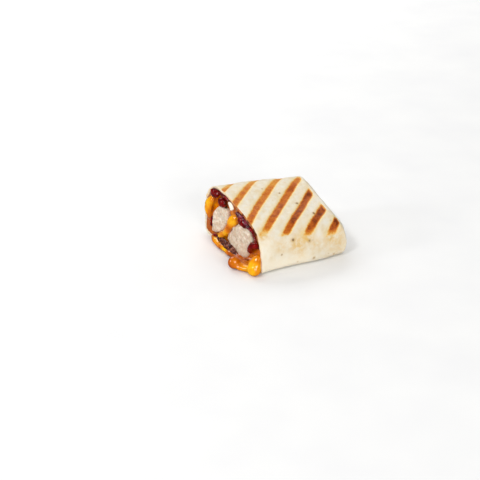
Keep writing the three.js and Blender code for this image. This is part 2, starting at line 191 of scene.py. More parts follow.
def letLightIn(shader, weight, radii):
    # light seeps below the surface, as far as radii mm in red, green and blue
    shader.inputs["Subsurface Weight"].default_value = weight
    shader.inputs["Subsurface Radius"].default_value = [radius * mm for radius in radii]
    shader.inputs["Subsurface Scale"].default_value = 1.0


def addCoat(shader, weight, roughness):
    # a wet film with sharp highlights
    shader.inputs["Coat Weight"].default_value = weight
    shader.inputs["Coat Roughness"].default_value = roughness


def plug(tree, value, socket):
    # a constant is set on the socket, anything else is linked to it
    if isinstance(value, (int, float, tuple)):
        socket.default_value = value
    else:
        tree.links.new(value, socket)


def addNode(tree, kind, inputs, **settings):
    # a node with its settings made, and its inputs set or linked
    node = tree.nodes.new("ShaderNode" + kind)
    for name, value in settings.items():
        setattr(node, name, value)
    for socket, value in inputs.items():
        plug(tree, value, node.inputs[socket])
    return node


def calc(tree, operation, a, b=0.0, clamp=False):
    # one sum of two values
    return addNode(tree, "Math", {0: a, 1: b}, operation=operation, use_clamp=clamp).outputs[0]


def fade(tree, value, low, high, bottom=0.0, top=1.0):
    # smooth step of value from bottom at low to top at high
    inputs = {"Value": value, "From Min": low, "From Max": high, "To Min": bottom, "To Max": top}
    return addNode(tree, "MapRange", inputs, interpolation_type="SMOOTHSTEP").outputs["Result"]


def blendColours(tree, factor, a, b):
    # a at factor 0 and b at factor 1
    return addNode(tree, "Mix", dict(Factor=factor, A=a, B=b), data_type="RGBA").outputs["Result"]


def colourRamp(tree, value, stops):
    # value to a colour, blended between stops of (position, display colour)
    node = addNode(tree, "ValToRGB", dict(Fac=value))
    ramp = node.color_ramp
    while len(ramp.elements) < len(stops):
        ramp.elements.new(0.5)
    for element, (position, shade) in zip(ramp.elements, stops):
        element.position = position
        element.color = colour(*shade)
    return node.outputs["Color"]


def objectPlace(tree, stretch=(1, 1, 1)):
    # place on the piece, squeezed along each axis by stretch
    spot = addNode(tree, "TexCoord", {}).outputs["Object"]
    if stretch == (1, 1, 1):
        return spot
    squeeze = tuple(1 / s for s in stretch)
    return addNode(tree, "Mapping", dict(Vector=spot, Scale=squeeze)).outputs["Vector"]


def noise(tree, size, detail=3.0, roughness=0.55, stretch=(1, 1, 1), distortion=0.0):
    # noise with features of about size mm
    spot, scale = objectPlace(tree, stretch), 1 / (size * mm)
    inputs = dict(Vector=spot, Scale=scale, Detail=detail, Roughness=roughness, Distortion=distortion)
    return addNode(tree, "TexNoise", inputs).outputs["Fac"]


def cells(tree, size):
    # distance to the middle of the nearest of many random cells of about size mm, and that cell's own value
    node = addNode(tree, "TexVoronoi", dict(Vector=objectPlace(tree), Scale=1 / (size * mm)))
    return node.outputs["Distance"], node.outputs["Color"]


def attribute(tree, name):
    # the value that a mesh carries under this name
    return addNode(tree, "Attribute", {}, attribute_name=name).outputs["Fac"]


def addBump(tree, shader, height, depth):
    # fine relief up to depth mm
    bump = addNode(tree, "Bump", dict(Distance=depth * mm, Height=height))
    tree.links.new(bump.outputs["Normal"], shader.inputs["Normal"])


# the roll's form, as in the solid

roll = dict(
    length=62.8,  # cut to where the end turns in
    halfWidthCut=39.6,
    halfWidthTipFront=35.5,
    halfWidthTipBack=34,
    taperFront=1.8,
    taperBack=1.3,
    waist=10,  # height at which it is widest
    topFrontCut=37.5,
    topBackCut=47.4,
    topFrontTip=31,
    topBackTip=43,
    topTaper=1.2,
    riseAt=0.17,  # where the top climbs from the front height to the back height
    riseSpread=0.42,
    cutSkew=math.radians(8.6),
    tipSkew=math.radians(3.4),
    tipLean=8.2,
    tipDepth=6.5,
    tipSquareness=2.7,
    poleHeight=14,
    frontCut=2.35,
    backCut=3.1,
    shoulderTip=4,
    foot=7.5,
    footSpread=1.04,
)


def halfWidth(u, side):
    # half the width at u (0 cut, 1 tip) narrows from the cut to the tip, later on the front side
    along = np.clip(u, 0, 1)
    front = mix(roll["halfWidthCut"], roll["halfWidthTipFront"], along ** roll["taperFront"])
    back = mix(roll["halfWidthCut"], roll["halfWidthTipBack"], along ** roll["taperBack"])
    return np.where(side < 0, front, back)


def topHeight(u, across):
    # the pressed top climbs across the roll by a tanh, and sinks from the cut to the tip
    rise = 0.5 + 0.5 * np.tanh((across - roll["riseAt"]) / roll["riseSpread"])
    along = np.clip(u, 0, 1) ** roll["topTaper"]
    front = mix(roll["topFrontCut"], roll["topFrontTip"], along)
    back = mix(roll["topBackCut"], roll["topBackTip"], along)
    return mix(front, back, rise)


def place(u, across, z):
    # a point u along the roll, across it and z high: sheared by the cut's skew, leaning out towards the tip
    y = across * halfWidth(u, across)
    skew = np.tan(mix(roll["cutSkew"], roll["tipSkew"], u))
    span = np.where(z > roll["waist"], topHeight(u, across) - roll["waist"], -2 * roll["waist"])
    share = np.maximum((z - roll["waist"]) / span, 0)
    lean = roll["tipLean"] * np.maximum(u, 0) ** 2 * (1 - share**1.6)
    return np.stack(np.broadcast_arrays(u * roll["length"] - y * skew + lean, y, z), -1)


tortilla = dict(
    thickness=1.9,
    layerGap=0.35,
    flapFrontCut=-23,
    flapFrontTip=2,
    innerEdge=20,
    tuckedTip=6.5,
    around=336,
    capRows=44,
    bodyRows=104,
    insideRows=26,
    slitDepth=5,
    flapReach=30,  # within this y the underside's columns follow the flap's edge
    lipRounding=0.35,
    lipCrumb=0.12,
    lipWave=0.25,
    insideShare=0.9,  # how much of the outside's relief the inside of the lip has
)


def innerFloor(y, skin):
    # height of the floor inside: two layers and the gap between them, and one beyond the sheet's inner edge
    twoLayers = 2 * tortilla["thickness"] + tortilla["layerGap"]
    oneLayer = ease(y, tortilla["innerEdge"] - 2, tortilla["innerEdge"] + 2)
    layers = mix(twoLayers, tortilla["thickness"], oneLayer)
    return layers + skin - tortilla["thickness"] if skin > 0 else skin


def sectionPoint(u, a, skin=0.0):
    # the section at angle a, set in by skin: superellipse shoulders over a flat foot
    c, s = np.cos(a), np.sin(a)
    along = np.clip(u, 0, 1)
    shoulder = 2 / mix(np.where(c < 0, roll["frontCut"], roll["backCut"]), roll["shoulderTip"], along)
    foot = 2 / roll["foot"]
    across = signedPower(c, np.where(s < 0, foot, shoulder))
    inset = across * (1 - skin / halfWidth(u, across))
    top = topHeight(u, across) - skin
    high = roll["waist"] + (top - roll["waist"]) * np.maximum(s, 0) ** shoulder
    floor = innerFloor(inset * halfWidth(u, across), skin)
    down = np.minimum(1, roll["footSpread"] * np.maximum(-s, 0) ** foot)
    low = roll["waist"] + (floor - roll["waist"]) * down
    return place(u, inset, np.where(s >= 0, high, low))


def evenAngles(count):
    # angles that space points evenly round the section at the cut
    quarter = 2000
    t = np.arange(quarter) / quarter
    crowded = t**4 / (t**4 + (1 - t) ** 4)
    fine = np.concatenate([(k + crowded) * math.pi / 2 for k in range(4)] + [[2 * math.pi]])
    points = sectionPoint(0.0, fine)
    run = np.concatenate([[0], np.cumsum(np.linalg.norm(np.diff(points, axis=0), axis=1))])
    return np.interp(np.arange(count) / count * run[-1], run, fine)


def polePoint(u, depth):
    # the middle of the end that turns in from u along the roll, depth further out
    return place(u, 0.0, roll["poleHeight"]) + np.array([depth, 0, 0])


def capPoint(u, a, skin, turn, depth):
    # the end that turns in from the section: turn runs from 0 at its edge to 1 at the pole
    power = 2 / roll["tipSquareness"]
    shrink = np.cos(turn * math.pi / 2) ** power
    out = depth * np.sin(turn * math.pi / 2) ** power
    points = mix(polePoint(u, 0), sectionPoint(u, a, skin), shrink[..., None])
    points[..., 0] += out
    return points


def flapEdge(x):
    # y of the flap's free edge under the roll, which runs back towards the tip
    along = np.clip(x / roll["length"], 0, 1) ** 2
    return mix(tortilla["flapFrontCut"], tortilla["flapFrontTip"], along)


# the grill's marks

grill = dict(
    pitch=13,
    offset=-3.3,  # of bar 0's middle line from the cut's middle
    angle=math.radians(45),
    halfWidth=2.6,
    wobble=0.035,
    depth=0.55,
    bowAt=[-37, -34, -30, -24, -18, -12, -6, 0, 15],  # the bars bow sideways: y, and how far there
    bow=[0, -0.8, -1.4, -1.7, -1.5, -0.9, -0.2, 0.2, 0.2],
    far=63.8,  # how far along the roll the bars go
    footEnds=(-30, 30),
    footFar=57,
    footBrown=0.6,
)
# each bar's mark on top, by its number: y of its ends, its width's share, its shift sideways, height and
# brownness of its front tip, how brown it is from front to back, and how far it goes if further than most
bars = {
    1: dict(ends=(6, 30), wide=0.8, shift=1.3, tip=(0, 0.5), browns=(0.5, 0.5, 0.4, 0.28)),
    0: dict(ends=(-14, 31), wide=0.95, shift=1.1, tip=(0, 0.6), browns=(0.6, 0.62, 0.62, 0.52, 0.34, 0.26)),
    -1: dict(
        ends=(-30, 33),
        wide=0.95,
        shift=0,
        tip=(0, 0.6),
        browns=(0.64, 0.68, 0.7, 0.68, 0.6, 0.38, 0.3),
    ),
    -2: dict(
        ends=(-36, 34),
        wide=1,
        shift=0,
        tip=(27.6, 0.3),
        browns=(0.7, 0.75, 0.77, 0.77, 0.72, 0.46, 0.38),
    ),
    -3: dict(ends=(-38, 34), wide=1, shift=0, tip=(25.8, 0.6), browns=(0.84, 0.87, 0.88, 0.8)),
    -4: dict(ends=(-39, 34), wide=1.05, shift=0, tip=(22.6, 0.34), browns=(0.78, 0.96, 1, 0.94)),
    -5: dict(ends=(-39, 34), wide=1, shift=0.3, tip=(18.6, 0.42), browns=(0.9, 1, 1, 0.94), far=68),
}


def grillFields(points):
    # distance from the nearest bar's middle line in half bar widths, and how brown that bar is there: the
    # bars are parallel lines, a pitch apart, that bow and wobble a little on top and on the walls
    x, y, z = np.moveaxis(points, -1, 0)
    c, s = math.cos(grill["angle"]), math.sin(grill["angle"])
    offset = -x * s + y * c - grill["offset"]
    number = np.round(offset / grill["pitch"])
    along = x * c + y * s
    wobble = np.sin(along / 6 + number * 2.3) + 0.5 * np.sin(along / 2.3 + number)
    aboveFoot = ease(z, 1, 12)
    beside = offset - number * grill["pitch"] - np.interp(y, grill["bowAt"], grill["bow"]) * aboveFoot
    width = grill["halfWidth"] * (1 + grill["wobble"] * wobble)
    reach = np.abs(beside) / width
    towardsTip = x + y * math.tan(roll["tipSkew"])
    heat = np.zeros_like(x)
    for bar, mark in bars.items():
        front, back = mark["ends"]
        tipHeight, tipBrown = mark["tip"]
        browns = np.interp(y, np.linspace(front, back, len(mark["browns"])), mark["browns"])
        browns = mix(tipBrown, browns, ease(z, tipHeight + 0.5, tipHeight + 4.5))
        inside = ease(y, front - 1.5, front + 2.5) * (1 - ease(y, back - 3, back + 2))
        inside = inside * ease(z, tipHeight - 1.6, tipHeight + 1.4)
        far = mark.get("far", grill["far"])
        inside = inside * (1 - ease(towardsTip, far - 1.5, far + 1.5))
        heat = np.where(number == bar, browns * inside, heat)
        onBar = np.abs(beside - mark["shift"] * aboveFoot) / width / mark["wide"]
        reach = np.where(number == bar, onBar, reach)
    onTop = ease(z, roll["waist"], roll["waist"] + 6)
    footFront, footBack = grill["footEnds"]
    foot = ease(y, footFront - 2, footFront + 2) * (1 - ease(y, footBack - 2, footBack + 2))
    foot = foot * (1 - ease(z, 0.5, 1.5)) * (1 - ease(x, grill["footFar"] - 3, grill["footFar"] + 3))
    return reach, heat * onTop + grill["footBrown"] * foot


# the relief of the skin, in mm
relief = dict(
    lumps=(0.55, 0.4, 0.3),
    pressedFlat=0.6,
    blisters=0.1,
    smallBlisters=0.06,
    crease=0.35,
    creaseWidth=1.3,
)
tuck = dict(
    lapHeight=18.5,
    lapSlope=0.11,
    lapWave=0.9,
    lap=1.6,
    lapGroove=1.2,
    creaseHeight=9,
    creaseSlope=-0.1,
    crease=0.8,
    fold=1.0,
    foldWidth=1.2,
    frontFold=(3, -34, 0.75),  # height where it starts, y there and its rise
    backFold=(3, 32, -0.9),
)


def tortillaRelief(points, normal):
    # soft lumps of the filling as sine waves, blisters as noise, and furrows under the bars
    x, y, z = np.moveaxis(points, -1, 0)
    pressed = ease(np.abs(normal[..., 2]), 0.8, 0.95)
    along, aslant, upright = relief["lumps"]
    lumps = (
        along * np.sin(x / 8.5 + y / 23 + 0.6) * np.cos(y / 9.5 + 0.4)
        + aslant * np.sin(x / 15 - y / 7 + 2.1)
        + upright * np.cos(z / 5.5 + x / 11)
    )
    blisters = relief["blisters"] * ripple(points, 9, 3) + relief["smallBlisters"] * ripple(points, 4.5, 4)
    # a shallow crease runs down the front wall below the last bar
    crease = bell(x - mix(57.5, 62.5, (z - 11) / 5), relief["creaseWidth"])
    crease = crease * ease(z, 7, 11) * (1 - ease(z, 16, 19)) * ease(-y, 30, 34)
    reach, heat = grillFields(points)
    furrow = (1 - ease(reach, 0.7, 1.45)) * np.minimum(1, heat * 2.2)
    softness = lumps * (1 - relief["pressedFlat"] * pressed)
    return softness + blisters - relief["crease"] * crease - grill["depth"] * furrow


def tuckRelief(points):
    # the tucked end: a step and a groove along the long lap, a crease below the lap's front half, and folds
    # that slant up from the lower corners towards the lap's ends
    x, y, z = np.moveaxis(points, -1, 0)
    onEnd = ease(x + y * math.tan(roll["tipSkew"]) - roll["length"], 0.5, 4)
    reach = 1 - ease(np.abs(y + 2), 20, 30)
    aboveLap = z - (tuck["lapHeight"] + tuck["lapSlope"] * y + tuck["lapWave"] * np.sin(y / 8))
    aboveCrease = z - (tuck["creaseHeight"] + tuck["creaseSlope"] * y)
    lap = tuck["lap"] * ease(aboveLap, -0.5, 0.7) * (1 - ease(aboveLap, 3, 11))
    lap = lap - tuck["lapGroove"] * bell(aboveLap + 0.9, 1.3)
    crease = tuck["crease"] * bell(aboveCrease, 1.8) * (1 - ease(y, -6, 8))
    folds = 0
    for fold, inside in (
        ("frontFold", ease(y, -33, -29) * (1 - ease(y, -20, -15))),
        ("backFold", ease(y, 12, 17) * (1 - ease(y, 27, 31))),
    ):
        height, start, rise = tuck[fold]
        folds = folds + inside * bell(z - (height + (y - start) * rise), tuck["foldWidth"])
    return onEnd * (reach * (lap - crease) - tuck["fold"] * folds)


def makeTortilla():
    # one closed surface: from the middle of the tucked end over the outside to the cut, across the lip, and
    # back along the inside to the inside of the end
    angles = evenAngles(tortilla["around"])
    thickness = tortilla["thickness"]
    # outside, with the end's rings evenly spaced along a meridian
    sample = np.array([math.pi * 0.75])
    depth = roll["tipDepth"]
    turns = evenSteps(lambda t: capPoint(1.0, sample, 0.0, t, depth), 1, 0, tortilla["capRows"])[1:]
    cap = capPoint(1.0, angles[None, :], 0.0, turns[:, None], depth)
    along = np.linspace(1, 0, tortilla["bodyRows"])[1:]
    outside = np.concatenate([cap, sectionPoint(along[:, None], angles[None, :])])
    normal = normalsOf(outside)
    flat = (outside[..., 2] < 0.05) & (normal[..., 2] < -0.5)
    # the underside's columns follow the flap's free edge
    limit, start = tortilla["flapReach"], tortilla["flapFrontCut"]
    y = outside[..., 1]
    edge = flapEdge(outside[..., 0])
    front = -limit + (y + limit) * (edge + limit) / (start + limit)
    back = limit - (limit - y) * (limit - edge) / (limit - start)
    y = np.where(flat & (np.abs(y) < limit), np.where(y < start, front, back), y)
    outside[..., 1] = y
    moved = outside + normal * tortillaRelief(outside, normal)[..., None]
    moved[..., 0] += tuckRelief(outside)
    layer = thickness + tortilla["layerGap"]
    ahead = edge - y
    step = np.where(ahead > 0.35, layer * (1 - ease(ahead, 1, 11.5)), 0)
    reach, heat = grillFields(outside)
    furrow = 0.5 * (1 - ease(reach, 0.7, 1.4)) * (heat > 0.3)
    least = np.minimum(outside[..., 2], roll["waist"]) * 0.6
    moved[..., 2] = np.where(flat, np.maximum(step, furrow), np.maximum(moved[..., 2], least))
    outside = moved
    # lip of the cut, from the outside's edge to the inside's, with the slit between the foot's two layers
    outerEdge = outside[-1]
    drift = (outerEdge - sectionPoint(0.0, angles)) * tortilla["insideShare"]
    innerEdge = sectionPoint(0.0, angles, thickness) + drift
    half = np.array([0.03, 0.1, 0.22, 0.34, 0.44, 0.455, 0.463])  # rows crowd at the slit
    shares = np.concatenate([half, [0.5], 1 - half[::-1]])
    lip = mix(outerEdge[None], innerEdge[None], shares[:, None, None])
    edgeY, edgeZ = innerEdge[:, 1], innerEdge[:, 2]
    twoLayers = (edgeZ < 6) * (edgeY > start + 0.5) * (1 - ease(edgeY, 18, 20))
    slit = (np.abs(shares - 0.5) < 0.04)[:, None] * twoLayers[None, :]
    rounding = tortilla["lipRounding"] * (1 - (2 * shares[:, None] - 1) ** 4)
    crumb = tortilla["lipCrumb"] * ripple(lip, 1.6, 8) + tortilla["lipWave"] * ripple(lip[:1], 9, 9)
    lip[..., 0] += -rounding + crumb * ease(shares, 0, 0.1)[:, None] + slit * tortilla["slitDepth"]
    # inside
    last = 1 - tortilla["tuckedTip"] / roll["length"]
    inward = last * np.linspace(0.004, 1, tortilla["insideRows"]) ** 1.4
    inside = sectionPoint(inward[:, None], angles[None, :], thickness)
    inside = inside + drift[None] * (1 - ease(inward * roll["length"], 0, 12))[:, None, None]
    innerTurns = np.array([0.2, 0.4, 0.6, 0.8, 0.93])[:, None]
    innerCap = capPoint(last, angles[None, :], thickness, innerTurns, tortilla["tuckedTip"])
    grid = np.concatenate([outside, lip, inside, innerCap])
    rows = len(outside)
    reach, heat = grillFields(grid)
    heat[rows:] = 0
    crumbField = np.zeros(grid.shape[:2])
    crumbField[rows:] = 1
    outerPole = polePoint(1.0, roll["tipDepth"])
    innerPole = polePoint(last, tortilla["tuckedTip"])
    fields = dict(
        barReach=reach,
        barHeat=heat,
        speckReach=spotReach(grid, toastedSpecks),
        warmth=bellsOver(grid, goldenPatches),
        flour=palenessOf(grid),
        cutCrumb=crumbField,
        stain=crumbField * stainOf(grid),
    )
    return tubeMesh("tortillaWrap", grid, outerPole, innerPole, fields)


# toasted specks: place on the roll's outside and half length, in mm
toastedSpecks = [
    ((38.6, 4.7, 38.7), 0.8),
    ((46.9, -7.8, 34.6), 1.15),
    ((53.7, -22.1, 31.7), 1.1),
    ((30.4, -37.3, 21.8), 1.25),
    ((43, -37, 18.8), 1.25),
    ((46.9, -37.3, 4.5), 1.05),
    ((63.7, -35.5, 3.5), 0.8),
    ((21.4, -39, 12.5), 0.7),
    ((34.2, -38.4, 4), 0.6),
    ((63.4, -30.2, 28), 0.6),
    ((27.2, 10.4, 41.5), 0.55),
    ((27.9, -11.3, 36), 0.5),
    ((30, 36, 20), 1.2),
    ((50, 34, 26), 0.9),
    ((12, 38, 12), 0.9),
]
# pale golden patches where the wall lay against the hot plate: place, half width in mm and strength
goldenPatches = [
    ((33.4, -37.8, 18.2), 6.5, 0.75),
    ((36.5, -38, 13), 5, 0.5),
    ((20.7, -38.6, 18.8), 5.5, 0.4),
    ((48, -37, 15), 5, 0.45),
    ((8.4, -32.6, 28), 5, 0.95),
    ((41, -36.8, 21.5), 5.5, 0.95),
    ((61, -35.9, 16.5), 5, 0.7),
    ((8.6, -33.5, 26.5), 3.5, 0.6),
    ((57, -36, 16), 5, 0.5),
    ((67.4, -35.3, 11.2), 7, 0.55),
    ((69.3, -35.1, 18.8), 6, 0.5),
    ((70, 10, 20), 9, 0.5),
    ((30, 38, 24), 9, 0.5),
    ((56, 33, 14), 8, 0.4),
]


def spotReach(points, spots):
    # distance to the nearest spot, in units of its half length
    nearest = np.full(points.shape[:2], 9.0)
    for middle, size in spots:
        nearest = np.minimum(nearest, np.linalg.norm(points - np.array(middle), axis=-1) / size)
    return nearest


def bellsOver(points, spots):
    # the highest of overlapping bells round spots of middle, half width and strength
    height = np.zeros(points.shape[:-1])
    for middle, size, strength in spots:
        distance = np.linalg.norm(points - np.array(middle), axis=-1)
        height = np.maximum(height, strength * bell(distance, size))
    return height


def palenessOf(points):
    # painted light: the front wall is paler near the cut and near its foot
    x, y, z = np.moveaxis(points, -1, 0)
    nearCut = 0.75 * (1 - ease(x, 4, 20))
    nearFoot = 0.75 * (1 - ease(z, 5, 18)) * (1 - ease(x, 36, 52))
    return np.maximum(nearCut, nearFoot) * ease(-y, 30, 35)


def stainOf(points):
    # sauce has soaked the lip and the lining: 1 where dark, fainter at the back, none low at the front
    y, z = points[..., 1], points[..., 2]
    return ease(z, 17, 26) * ease(y, -37, -31) * mix(1, 0.15, ease(y, -8, 8))


def tortillaMaterial():
    # dough, paler on the front wall near the cut and its foot as painted light, browned under the bars by
    # barReach and barHeat, with specks and a crumb stained by stain
    material, tree, shader = newMaterial("griddledTortilla", specular=0.25)
    letLightIn(shader, 0.06, (2, 1.4, 0.8))
    flour = noise(tree, 6, 4, 0.62)
    dough = colourRamp(
        tree,
        flour,
        [(0.3, (222, 204, 168)), (0.46, (228, 216, 192)), (0.62, (231, 224, 208))],
    )
    cloudy = fade(tree, noise(tree, 12, 3, 0.6, distortion=0.4), 0.5, 0.7, 0.0, 0.4)
    dough = blendColours(tree, cloudy, dough, colour(228, 204, 154))
    # painted light: the front wall is blended paler near the cut and near its foot
    dough = blendColours(tree, attribute(tree, "flour"), dough, colour(244, 234, 212))
    mottled = fade(tree, noise(tree, 2.6, 3, 0.65), 0.32, 0.6, 0.35, 1.25)
    golden = calc(tree, "MULTIPLY", attribute(tree, "warmth"), mottled, clamp=True)
    dough = blendColours(tree, golden, dough, colour(222, 184, 112))
    # browned bars, with a golden fringe
    ragged = calc(tree, "MULTIPLY", calc(tree, "SUBTRACT", noise(tree, 1.8, 4, 0.6), 0.5), 0.55)
    edge = calc(tree, "ADD", attribute(tree, "barReach"), ragged)
    core = fade(tree, edge, 0.5, 1.3, 1.0, 0.0)
    pores = fade(tree, noise(tree, 1.0, 3, 0.65), 0.3, 0.7, -0.09, 0.09)
    blotches = fade(tree, noise(tree, 5, 2, 0.5), 0.35, 0.65, -0.1, 0.1)
    barHeat = attribute(tree, "barHeat")
    heat = calc(tree, "ADD", barHeat, calc(tree, "ADD", pores, blotches))
    onBar = fade(tree, barHeat, 0.02, 0.2)
    toast = calc(tree, "MULTIPLY", calc(tree, "MULTIPLY", core, onBar), heat, clamp=True)
    browned = colourRamp(
        tree,
        toast,
        [
            (0.0, (232, 206, 150)),
            (0.25, (230, 182, 100)),
            (0.42, (214, 144, 48)),
            (0.6, (202, 112, 28)),
            (0.78, (178, 83, 8)),
            (1.0, (118, 48, 4)),
        ],
    )
    scorched = fade(tree, barHeat, 0.1, 0.5)
    fringe = calc(tree, "MULTIPLY", fade(tree, edge, 0.9, 2.0, 0.7, 0.0), scorched)
    skin = blendColours(tree, fringe, dough, colour(236, 212, 150))
    skin = blendColours(tree, fade(tree, toast, 0.03, 0.25), skin, browned)
    # toasted specks
    speckEdge = calc(tree, "ADD", attribute(tree, "speckReach"), ragged)
    skin = blendColours(tree, fade(tree, speckEdge, 0.9, 2.2, 0.45, 0.0), skin, colour(200, 160, 92))
    skin = blendColours(tree, fade(tree, speckEdge, 0.5, 1.2, 0.85, 0.0), skin, colour(120, 88, 44))
    distance, cell = cells(tree, 5)
    some = fade(tree, cell, 0.62, 0.68)
    freckle = calc(tree, "MULTIPLY", fade(tree, distance, 0.05, 0.16, 0.4, 0.0), some)
    skin = blendColours(tree, freckle, skin, colour(176, 144, 92))
    # cut lip and lining, soaked by the sauces
    crumb = colourRamp(tree, noise(tree, 1.2, 3), [(0.35, (226, 206, 168)), (0.6, (238, 226, 202))])
    patchy = fade(tree, noise(tree, 3.5, 3, 0.6), 0.3, 0.55, 0.55, 1.0)
    stain = attribute(tree, "stain")
    crumb = blendColours(tree, fade(tree, stain, 0.05, 0.4, 0.0, 0.7), crumb, colour(232, 164, 92))
    soaked = calc(tree, "MULTIPLY", fade(tree, stain, 0.5, 0.95), patchy)
    sauces = colourRamp(tree, noise(tree, 4.5, 2), [(0.42, (96, 30, 12)), (0.58, (196, 110, 40))])
    crumb = blendColours(tree, soaked, crumb, sauces)
    skin = blendColours(tree, attribute(tree, "cutCrumb"), skin, crumb)
    tree.links.new(skin, shader.inputs["Base Color"])
    tree.links.new(fade(tree, toast, 0.2, 0.8, 0.66, 0.5), shader.inputs["Roughness"])
    grain = calc(tree, "ADD", noise(tree, 0.9, 4, 0.6), calc(tree, "MULTIPLY", noise(tree, 3.5, 3), 1.5))
    addBump(tree, shader, grain, 0.14)
    return material


# the fillings


def settled(y, z, u=0.0, out=0.0):
    # a point of the cut's plane at y and z, carried to u along the roll and moved out of the cut
    y, z = np.asarray(y, float), np.asarray(z, float)
    across = y / roll["halfWidthCut"]
    points = place(np.asarray(u, float), across, z * (topHeight(u, across) / topHeight(0.0, across)))
    points[..., 0] -= out
    return points


chicken = dict(
    # corners on the cut, y and z
    front=[
        (-10.6, 28.2),
        (-20.6, 27.8),
        (-27, 23.6),
        (-25.2, 16),
        (-21.4, 5.2),
        (-14.6, 4.6),
        (5, 9.2),
        (0.2, 19),
    ],
    back=[(17, 29.8), (8.6, 31.4), (5, 24.6), (12, 12.8), (18.6, 8.4), (26, 7), (27.4, 14.6), (23.4, 25.4)],
    reach=0.8,  # share of the roll's length
    swell=1.5,
    swellFoot=1.6,
    lumps=0.42,
    smallLumps=0.14,
    fibres=0.06,
    around=170,
    faceRows=52,
    bodyRows=30,
)


def makeChunk(name, corners, seed):
    # a chunk of chicken: its outline on the cut carried along the roll, with a swelling, fibrous face
    outline = throughPoints(corners, chicken["around"], closed=True, tension=0.34)
    centre = outline.mean(axis=0)

    def rings(u, scales, out=0.0, bulge=0.0):
        # the outline scaled about its middle, u along the roll, and out of the cut by out and bulge swells
        flat = mix(centre, outline, scales[..., None])
        swell = chicken["swell"] + chicken["swellFoot"] * (1 - ease(flat[..., 1], 6, 22))
        return settled(flat[..., 0], flat[..., 1], u, out + bulge * swell)

    scales = np.linspace(0.02, 1, chicken["faceRows"])[:, None] ** 0.8
    face = rings(0.0, scales, bulge=np.sqrt(np.maximum(0, 1 - scales**9)))
    along = np.linspace(0.01, 1, chicken["bodyRows"])[:, None] ** 1.3
    body = rings(along * chicken["reach"], np.ones_like(along))
    tail = rings(chicken["reach"], np.array([[0.85], [0.5]]), out=np.array([[-2.0], [-3.2]]))
    grid = np.concatenate([face, body, tail])
    normal = normalsOf(grid)
    lumps = chicken["lumps"] * ripple(grid, 11, seed + 2)
    lumps = lumps + chicken["smallLumps"] * ripple(grid, 4.5, seed + 3)
    lumps = lumps + chicken["fibres"] * ripple(grid, 2, seed + 4, stretch=(1, 1.6, 1))
    grid = grid + normal * lumps[..., None]
    first = grid[0].mean(axis=0)
    last = settled(centre[0], centre[1], chicken["reach"], -3.6)
    return tubeMesh(name, grid, first, last)


def chickenMaterial():
    # pale mottled meat, with browner blushes and pores, and painted shade that darkens it towards its foot
    material, tree, shader = newMaterial("poachedChicken", specular=0.3)
    letLightIn(shader, 0.2, (2.2, 1.3, 0.9))
    grain = noise(tree, 2, 4, 0.62, stretch=(1, 1.3, 1))
    meat = colourRamp(
        tree,
        grain,
        [(0.3, (195, 167, 138)), (0.47, (217, 198, 174)), (0.62, (239, 226, 208))],
    )
    blush = fade(tree, noise(tree, 5, 3, 0.6), 0.45, 0.66, 0.0, 0.55)
    meat = blendColours(tree, blush, meat, colour(206, 172, 146))
    spot = addNode(tree, "SeparateXYZ", dict(Vector=objectPlace(tree)))
    # painted shade: below 22 mm the meat is blended towards a darker colour, most at its foot
    shadedLow = fade(tree, spot.outputs["Z"], 6 * mm, 22 * mm, 0.3, 0.0)
    meat = blendColours(tree, shadedLow, meat, colour(196, 162, 132))
    pores = fade(tree, noise(tree, 0.55, 2, 0.5), 0.3, 0.42, 0.3, 0.0)
    meat = blendColours(tree, pores, meat, colour(178, 140, 112))
    tree.links.new(meat, shader.inputs["Base Color"])
    tree.links.new(fade(tree, noise(tree, 2.5, 2), 0.35, 0.65, 0.36, 0.6), shader.inputs["Roughness"])
    addBump(tree, shader, calc(tree, "ADD", noise(tree, 0.7, 3, 0.6), noise(tree, 2.4, 3)), 0.14)
    return material


def strandGrid(points, widths, depths, tilt=0.0, around=28, rows=44):
    # a soft strand through points (y, z, out): an ellipse of half sizes widths and depths, carried along
    # their curve, turned by tilt about it and closing to rounded ends
    points = np.array(points, float)
    route = throughPoints(settled(points[:, 0], points[:, 1], 0.0, points[:, 2]), rows)
    t = np.linspace(0, 1, rows)
    knots = np.linspace(0, 1, len(widths))
    wide, deep = np.interp(t, knots, widths), np.interp(t, knots, depths)
    taper = np.sqrt(np.maximum(1 - (2 * t - 1) ** 8, 0)) * 0.94 + 0.06
    along = np.gradient(route, axis=0)
    along /= np.linalg.norm(along, axis=1, keepdims=True)
    cutNormal = np.array([-math.cos(roll["cutSkew"]), -math.sin(roll["cutSkew"]), 0])
    side = np.cross(along, cutNormal)
    side /= np.linalg.norm(side, axis=1, keepdims=True)
    out = np.cross(side, along)
    a = np.linspace(0, 2 * math.pi, around, endpoint=False)
    w = (wide * taper)[:, None] * np.cos(a)
    d = (deep * taper)[:, None] * np.sin(a)
    c, s = math.cos(tilt), math.sin(tilt)
    sideways, outwards = (w * c - d * s)[..., None], (w * s + d * c)[..., None]
    grid = route[:, None] + side[:, None] * sideways + out[:, None] * outwards
    first = route[0] - along[0] * 0.25 * wide[0]
    last = route[-1] + along[-1] * 0.25 * wide[-1]
    return grid, first, last


def lumpGrid(middle, sizes, around=28, rows=18):
    # an upright ellipsoid on the cut: its middle (y, z, out), and its half sizes along y, z and outwards
    y, z, out = middle
    across, tall, deep = sizes
    polar = np.linspace(0, math.pi, rows + 2)[1:-1, None]
    a = np.linspace(0, 2 * math.pi, around, endpoint=False)[None, :]
    outwards, sideways = deep * np.sin(polar) * np.cos(a), across * np.sin(polar) * np.sin(a)
    c, s = math.cos(roll["cutSkew"]), math.sin(roll["cutSkew"])
    upwards = np.broadcast_to(tall * np.cos(polar), outwards.shape)
    turned = np.stack([outwards * c - sideways * s, outwards * s + sideways * c, upwards], -1)
    centre = settled(y, z, 0.0, out)
    return centre + turned, centre + [0, 0, tall], centre - [0, 0, tall]


